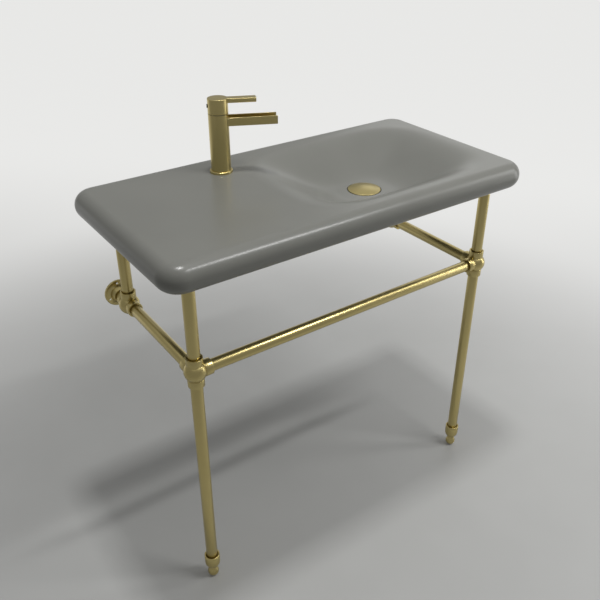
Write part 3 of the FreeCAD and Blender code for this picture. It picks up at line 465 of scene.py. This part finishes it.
def basin_piece():
    """The basin with its faucet hole, drain hole, recess, ground seats and hanger holes."""
    under = BASIN_LOW.z - DEEP_OVERCUT
    deck = (FAUCET.x, FAUCET.y, under)
    drain = (DRAIN.x, DRAIN.y, under)
    recess = (DRAIN.x, DRAIN.y, BOWL_FLOOR - RECESS_DEEP)
    clamp_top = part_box("horseshoe_gasket")[1].z
    drain_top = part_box("drain_lower_gasket")[1].z
    clamp_radius = extent("horseshoe_gasket").y / 2 + GROUND_MARGIN
    drain_radius = extent("drain_lower_gasket").x / 2 + GROUND_MARGIN
    cuts = [
        rod(FAUCET_HOLE / 2, deck, UP, RIM + DEEP_OVERCUT - under),
        rod(DRAIN_HOLE / 2, drain, UP, RIM - under),
        rod(RECESS_ROUND / 2, recess, UP, BOWL_DROP, 128),
        rod(clamp_radius, deck, UP, clamp_top - under),
        rod(drain_radius, drain, UP, drain_top - under),
    ]
    for hand in (-1, 1):
        start = (hand * HANGER_SPACING / 2, -EDGE_WALL - FACE_OVERCUT, 0)
        cuts.append(rod(HANGER_HOLE / 2, start, (0, 1, 0), EDGE_WALL + FACE_OVERCUT + HANGER_OVERCUT, 48))
    bm = cut_or_join(basin_blank(), [("DIFFERENCE", tool) for tool in cuts])
    finish_piece(bm, "basin", sharp_angle=50)


basin_piece()


# Stand

TUBES = ["front_rail"]
for side in ("left", "right"):
    TUBES += [side + name for name in ("_leg", "_side_rail", "_wall_stub", "_front_post", "_rear_post")]
TUBE_RADIUS = extent("left_leg").x / 2


def tube_piece(node):
    """A tube along the node's longest side."""
    size = extent(node)
    axis = max(range(3), key=lambda index: size[index])
    direction = Vector((0, 0, 0))
    direction[axis] = 1
    half = size[axis] / 2
    bore = TUBE_RADIUS - TUBE_WALL
    bm = bmesh.new()
    lathe(bm, [(bore, -half), (TUBE_RADIUS, -half), (TUBE_RADIUS, half), (bore, half), (bore, -half)])
    soften(bm, TUBE_EDGE)
    place(bm, Matrix.Translation(middle(node)) @ turn_to(direction))
    finish_piece(bm, node)


for node in TUBES:
    tube_piece(node)


def collar(reach):
    """A closed socket collar along +Z, with a groove next to the ball."""
    bm = bmesh.new()
    start = math.sqrt(BALL_RADIUS ** 2 - COLLAR_RADIUS ** 2)
    neck = COLLAR_RADIUS - COLLAR_GROOVE_DEEP
    lathe(bm, [
        (0, BALL_RADIUS / 2),
        (neck, BALL_RADIUS / 2),
        (neck, start + COLLAR_GROOVE),
        (COLLAR_RADIUS, start + COLLAR_GROOVE),
        (COLLAR_RADIUS, reach),
        (0, reach),
    ])
    rim = [edge for edge in bm.edges
           if edge.is_manifold and edge.calc_face_angle(0) > math.radians(60)
           and min(vert.co.z for vert in edge.verts) > start + COLLAR_GROOVE / 2]
    round_edges(bm, rim, COLLAR_EDGE)
    return bm


def collar_bore(reach):
    """The space that a tube takes up in a collar, wider at the mouth."""
    bm = bmesh.new()
    lathe(bm, [
        (0, SOCKET_FLOOR),
        (TUBE_RADIUS, SOCKET_FLOOR),
        (TUBE_RADIUS, reach - MOUTH_DEEP),
        (MOUTH_RADIUS, reach - MOUTH_DEEP),
        (MOUTH_RADIUS, reach + FACE_OVERCUT),
        (0, reach + FACE_OVERCUT),
    ])
    return bm


def tee_piece(node, centre, directions):
    """A ball with collars towards the given directions, each as long as the node reaches."""
    low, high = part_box(node)
    ball = bmesh.new()
    bmesh.ops.create_uvsphere(ball, u_segments=128, v_segments=64, radius=BALL_RADIUS)
    arms = []
    bores = []
    for direction in directions:
        axis = max(range(3), key=lambda index: abs(direction[index]))
        reach = abs((high if direction[axis] > 0 else low)[axis] - centre[axis])
        arm = collar(reach)
        bore = collar_bore(reach)
        place(arm, turn_to(direction))
        place(bore, turn_to(direction))
        arms.append(("UNION", arm))
        bores.append(("DIFFERENCE", bore))
    bm = cut_or_join(ball, arms + bores)
    place(bm, Matrix.Translation(centre))
    finish_piece(bm, node)


RAIL_HEIGHT = middle("front_rail").z
for side, inward in (("left", 1), ("right", -1)):
    front = middle(side + "_front_post")
    rear = middle(side + "_rear_post")
    tee_piece(side + "_front_tee", Vector((front.x, front.y, RAIL_HEIGHT)),
              [(0, 0, 1), (0, 0, -1), (inward, 0, 0), (0, 1, 0)])
    tee_piece(side + "_rear_tee", Vector((rear.x, rear.y, RAIL_HEIGHT)),
              [(0, 0, 1), (0, -1, 0), (0, 1, 0)])


# Faucet bars with broken edges

def cad_copy(node):
    """A merged copy of a node's own mesh."""
    bm = bmesh.new()
    bm.from_mesh(frame["nodes"][node].data)
    bmesh.ops.remove_doubles(bm, verts=bm.verts, dist=CAD_WELD)
    return bm


def edged_copy(node, width):
    """The node's own form with its sharp edges rounded."""
    bm = cad_copy(node)
    bmesh.ops.dissolve_limit(bm, angle_limit=math.radians(0.5), verts=bm.verts, edges=bm.edges)
    soften(bm, width)
    piece = finish_piece(bm, node)
    flat_faces = piece.modifiers.new("flat_faces", "WEIGHTED_NORMAL")
    flat_faces.keep_sharp = True


edged_copy("spout_trough", SPOUT_EDGE)
edged_copy("lever_bar", LEVER_EDGE)


# Remaining nodes keep their CAD form with merged, smooth faces

made = {name for piece in bpy.data.objects for name in piece.get("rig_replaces", [])}
for node in frame["nodes"]:
    if node not in made:
        finish_piece(cad_copy(node), node, sharp_angle=32)


# Floor, light and camera

FLOOR = CAD_BOX[0].z
FLOOR_REACH = 30
BACKWARD = (0.70, 0.71, 0)
GLOW_FRONT = 0.30
GLOW_BACK = 0.88
GLOW_SHARE = 0.9
FILL_LEVEL = 0.20
SEEN_FRONT = 0.36
SEEN_BACK = 0.46
PHOTO_SIZE = 600
PHOTO_FOCAL_PX = 725.81
CAMERA_SPOT = (-0.8648, -1.4053, FLOOR + 1.4219)
CAMERA_DOWN = 31.02
CAMERA_TURN = -35.287


def seen_rays(nodes, links):
    """1 for camera, glossy and transmission rays, 0 for the light that falls on things."""
    path = nodes.new("ShaderNodeLightPath")
    seen = path.outputs["Is Camera Ray"]
    for ray in ("Is Glossy Ray", "Is Transmission Ray"):
        either = nodes.new("ShaderNodeMath")
        either.operation = "MAXIMUM"
        links.new(seen, either.inputs[0])
        links.new(path.outputs[ray], either.inputs[1])
        seen = either.outputs["Value"]
    return seen


def graded(nodes, links, value, start, end, low, high):
    """A smooth change from low to high while a value runs from start to end."""
    grade = nodes.new("ShaderNodeMapRange")
    grade.interpolation_type = "SMOOTHSTEP"
    grade.inputs["From Min"].default_value = start
    grade.inputs["From Max"].default_value = end
    grade.inputs["To Min"].default_value = low
    grade.inputs["To Max"].default_value = high
    links.new(value, grade.inputs["Value"])
    return grade.outputs["Result"]


def measured(nodes, links, coordinates, operation, way=(0, 0, 0)):
    """A length or a reach along a direction, taken from texture coordinates."""
    spot = nodes.new("ShaderNodeTexCoord")
    reach = nodes.new("ShaderNodeVectorMath")
    reach.operation = operation
    reach.inputs[1].default_value = way
    links.new(spot.outputs[coordinates], reach.inputs[0])
    return reach.outputs["Value"]


def floor_finish():
    """Pale grey near the sink, fading to a paler tone further away."""
    finish, nodes, links, shader = new_finish("pale_floor")
    blend_colours(nodes, links, noise(nodes, links, 3, 3), (0.465, 0.468, 0.456), (0.495, 0.498, 0.486),
                  shader.inputs["Base Color"])
    shader.inputs["Roughness"].default_value = 0.45
    pale = nodes.new("ShaderNodeEmission")
    pale.inputs["Color"].default_value = (1.0, 1.0, 0.985, 1)
    behind = measured(nodes, links, "Object", "DOT_PRODUCT", BACKWARD)
    level = graded(nodes, links, behind, start=-1.6, end=2.2, low=GLOW_FRONT, high=GLOW_BACK)
    links.new(level, pale.inputs["Strength"])
    away = measured(nodes, links, "Object", "LENGTH")
    share = nodes.new("ShaderNodeMath")
    share.operation = "MULTIPLY"
    links.new(seen_rays(nodes, links), share.inputs[0])
    links.new(graded(nodes, links, away, start=0.8, end=1.9, low=0.0, high=GLOW_SHARE), share.inputs[1])
    mix = nodes.new("ShaderNodeMixShader")
    links.new(share.outputs["Value"], mix.inputs["Fac"])
    links.new(shader.outputs["BSDF"], mix.inputs[1])
    links.new(pale.outputs["Emission"], mix.inputs[2])
    links.new(mix.outputs["Shader"], nodes["Material Output"].inputs["Surface"])
    return finish


def studio_floor():
    """A wide flat floor at the feet, which carries the shadow."""
    bm = bmesh.new()
    bmesh.ops.create_grid(bm, x_segments=1, y_segments=1, size=FLOOR_REACH)
    place(bm, Matrix.Translation((0, 0, FLOOR)))
    floor = loose_object(bm, "floor")
    floor.data.materials.append(floor_finish())


def soft_light(name, spot, target, size, watts):
    """A rectangular lamp at a spot, facing a target."""
    lamp = bpy.data.lights.new(name, "AREA")
    lamp.shape = "RECTANGLE"
    lamp.size, lamp.size_y = size
    lamp.energy = watts
    holder = bpy.data.objects.new(name, lamp)
    holder.location = spot
    aim = Vector(target) - Vector(spot)
    holder.rotation_euler = aim.to_track_quat("-Z", "Y").to_euler()
    bpy.context.scene.collection.objects.link(holder)


def studio_world():
    """Light all round: dim as fill, and paler towards the back where gloss shows it."""
    world = bpy.data.worlds.new("studio")
    world.use_nodes = True
    nodes, links = world.node_tree.nodes, world.node_tree.links
    background = nodes["Background"]
    background.inputs["Color"].default_value = (0.80, 0.80, 0.79, 1)
    backward = measured(nodes, links, "Generated", "DOT_PRODUCT", BACKWARD)
    seen_level = graded(nodes, links, backward, start=-0.4, end=0.6, low=SEEN_FRONT, high=SEEN_BACK)
    strength = nodes.new("ShaderNodeMapRange")
    strength.inputs["To Min"].default_value = FILL_LEVEL
    links.new(seen_level, strength.inputs["To Max"])
    links.new(seen_rays(nodes, links), strength.inputs["Value"])
    links.new(strength.outputs["Result"], background.inputs["Strength"])
    bpy.context.scene.world = world


def photo_camera():
    """A camera at the photograph's place, turn and focal length."""
    camera = bpy.data.cameras.new("camera")
    camera.sensor_width = 36
    camera.lens = camera.sensor_width * PHOTO_FOCAL_PX / PHOTO_SIZE
    holder = bpy.data.objects.new("camera", camera)
    holder.location = CAMERA_SPOT
    holder.rotation_euler = (math.radians(90 - CAMERA_DOWN), 0, math.radians(CAMERA_TURN))
    bpy.context.scene.collection.objects.link(holder)
    bpy.context.scene.camera = holder


studio_floor()
studio_world()
soft_light("ceiling", spot=(0.3, 0.0, 3.6), target=(0.3, -0.01, 0), size=(9.0, 9.0), watts=44)
soft_light("overhead", spot=(-0.1, -0.35, 3.2), target=(-0.1, -0.36, 0), size=(0.36, 0.36), watts=44)
soft_light("side_panel", spot=(1.5, -1.0, 0.3), target=(0, -0.3, -0.1), size=(0.25, 1.4), watts=5)
soft_light("back_panel", spot=(2.9, 1.8, 1.1), target=(0.4, -0.2, 0), size=(1.8, 1.4), watts=5)
soft_light("edge_strip", spot=(1.0, -1.55, 2.1), target=(0.5, -1.55, 0), size=(0.12, 1.1), watts=28)
photo_camera()
bpy.context.scene.view_settings.view_transform = "Standard"
